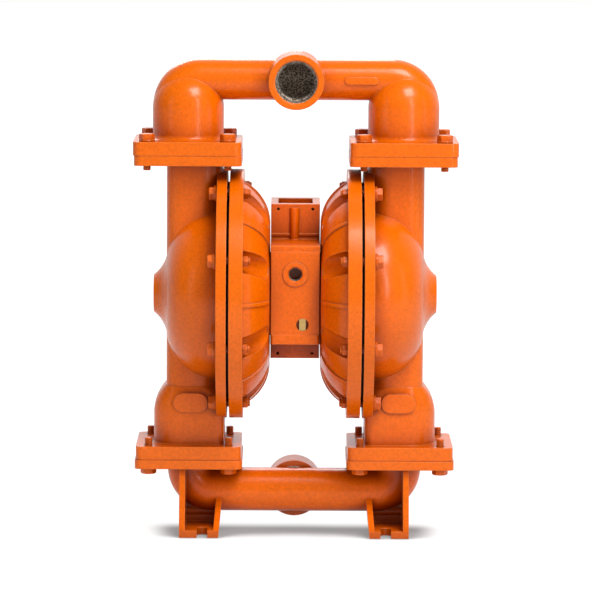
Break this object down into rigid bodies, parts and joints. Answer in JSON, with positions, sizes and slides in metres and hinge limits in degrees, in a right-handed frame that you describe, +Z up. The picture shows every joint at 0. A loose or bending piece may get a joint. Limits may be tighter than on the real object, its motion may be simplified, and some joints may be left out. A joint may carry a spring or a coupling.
{
  "type": "air operated diaphragm pump",
  "caption": "Upright air operated double diaphragm pump with bolted cast chambers, an upper and a lower manifold, threaded ports and slotted feet.",
  "frame": {"origin": "on the floor under the middle of the pump, midway between the two feet", "axes": "+X along the diaphragm shaft to the right chamber, +Y to the rear with the air valve and the inlet port, -Y to the front with the discharge port, +Z up"},
  "size_m": [0.447, 0.3464, 0.6691],
  "materials": {
    "orange_casting": "safety orange enamel over sand-cast iron, slightly pebbled",
    "painted_fastener": "steel fasteners sprayed over with the same orange enamel",
    "gasket_rubber": "black nitrile sheet and seals",
    "diaphragm_rubber": "black moulded rubber, matt",
    "ball_rubber": "black solid rubber balls",
    "bearing_bronze": "turned bearing bronze",
    "brass_plug": "plain brass pipe plug",
    "zinc_steel": "zinc plated steel",
    "seat_steel": "turned steel",
    "valve_aluminium": "machined aluminium",
    "piston_aluminium": "cast aluminium, turned"
  },
  "bodies": {
    "pump_body": {"discharge_manifold": "orange_casting", "inlet_manifold": "orange_casting", "center_block": "orange_casting", "brass_plug": "brass_plug", "pilot_sleeve": "bearing_bronze", "air_valve_gasket": "gasket_rubber", "air_valve_body": "orange_casting", "air_valve_top_cap": "orange_casting", "air_valve_bottom_cap": "orange_casting", "air_valve_screws": "zinc_steel", "right_air_chamber": "orange_casting", "left_air_chamber": "orange_casting", "right_air_chamber_gasket": "gasket_rubber", "left_air_chamber_gasket": "gasket_rubber", "right_liquid_chamber": "orange_casting", "left_liquid_chamber": "orange_casting", "right_diaphragm": "diaphragm_rubber", "left_diaphragm": "diaphragm_rubber", "right_shaft_bushing": "bearing_bronze", "left_shaft_bushing": "bearing_bronze", "right_air_chamber_screws": "zinc_steel", "left_air_chamber_screws": "zinc_steel", "right_rim_bolts": "painted_fastener", "left_rim_bolts": "painted_fastener", "right_rim_nuts": "painted_fastener", "left_rim_nuts": "painted_fastener", "right_discharge_bolts": "painted_fastener", "left_discharge_bolts": "painted_fastener", "right_inlet_bolts": "painted_fastener", "left_inlet_bolts": "painted_fastener", "right_discharge_seat": "seat_steel", "left_discharge_seat": "seat_steel", "right_inlet_seat": "seat_steel", "left_inlet_seat": "seat_steel", "right_discharge_seat_seal": "gasket_rubber", "left_discharge_seat_seal": "gasket_rubber", "right_inlet_seat_seal": "gasket_rubber", "left_inlet_seat_seal": "gasket_rubber"},
    "shaft_group": {"diaphragm_shaft": "seat_steel", "right_inner_piston": "valve_aluminium", "left_inner_piston": "valve_aluminium", "right_outer_piston": "piston_aluminium", "left_outer_piston": "piston_aluminium"},
    "pilot_slide": {"pilot_spool": "seat_steel"},
    "air_valve_slide": {"air_valve_spool": "valve_aluminium"},
    "right_discharge_check": {"right_discharge_ball": "ball_rubber"},
    "right_inlet_check": {"right_inlet_ball": "ball_rubber"},
    "left_discharge_check": {"left_discharge_ball": "ball_rubber"},
    "left_inlet_check": {"left_inlet_ball": "ball_rubber"}
  },
  "joints": [
    {"name": "shaft_stroke", "type": "slide", "parent": "pump_body", "child": "shaft_group", "axis": [1, 0, 0], "range_m": [-0.02, 0.02], "deforming": ["right_diaphragm", "left_diaphragm"]},
    {"name": "pilot_spool_slide", "type": "slide", "parent": "pump_body", "child": "pilot_slide", "axis": [1, 0, 0], "range_m": [-0.005, 0.005]},
    {"name": "air_valve_spool_slide", "type": "slide", "parent": "pump_body", "child": "air_valve_slide", "axis": [0, 0, 1], "range_m": [0, 0.012]},
    {"name": "right_discharge_check_lift", "type": "slide", "parent": "pump_body", "child": "right_discharge_check", "axis": [0, 0, 1], "range_m": [0, 0.014]},
    {"name": "right_inlet_check_lift", "type": "slide", "parent": "pump_body", "child": "right_inlet_check", "axis": [0, 0, 1], "range_m": [0, 0.014]},
    {"name": "left_discharge_check_lift", "type": "slide", "parent": "pump_body", "child": "left_discharge_check", "axis": [0, 0, 1], "range_m": [0, 0.014]},
    {"name": "left_inlet_check_lift", "type": "slide", "parent": "pump_body", "child": "left_inlet_check", "axis": [0, 0, 1], "range_m": [0, 0.014]}
  ],
  "couplings": [
    {"joint": "pilot_spool_slide", "follows": "shaft_stroke", "ratio": 0.25}
  ]
}
